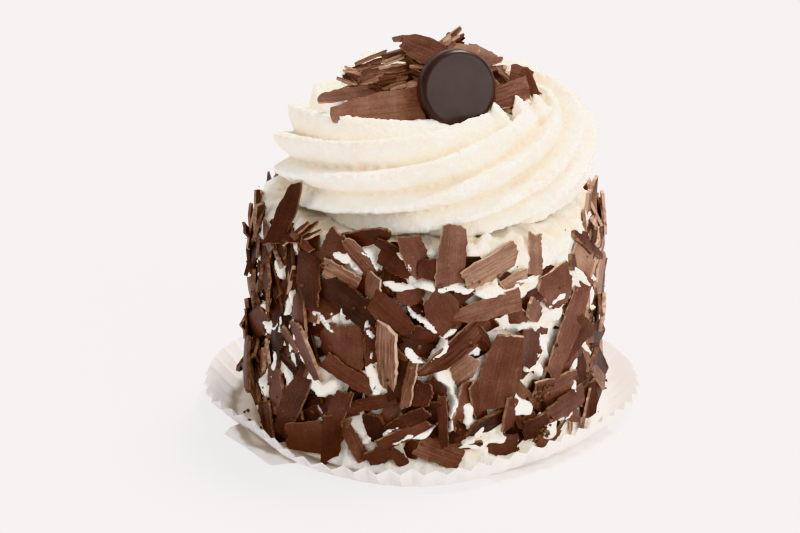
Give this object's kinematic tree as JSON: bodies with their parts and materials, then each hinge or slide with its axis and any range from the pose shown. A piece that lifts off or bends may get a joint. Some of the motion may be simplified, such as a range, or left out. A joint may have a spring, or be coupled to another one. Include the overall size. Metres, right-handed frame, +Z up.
{
  "type": "chocolate merveilleux cake",
  "caption": "Small round meringue and whipped cream cake rolled in dark chocolate shavings, with a piped cream rosette, a heap of shavings and a chocolate disc, in a pleated paper case.",
  "frame": {"origin": "middle of the flat underside of the paper case", "axes": "+Z up, front with the standing chocolate disc towards -Y, +X to the right seen from the front"},
  "size_m": [0.1002, 0.0977, 0.0915],
  "materials": {
    "paper": "matte, thin and pleated",
    "cream": "soft whipped cream, matte with a faint sheen",
    "shavings": "dark chocolate shavings, satin, with fine lines along their length",
    "disc_chocolate": "smooth satin dark chocolate"
  },
  "bodies": {
    "root": {"paper_case": "paper", "cake_with_shavings": "shavings", "cream_rosette": "cream", "shavings_heap": "shavings", "chocolate_disc": "disc_chocolate"}
  },
  "joints": []
}
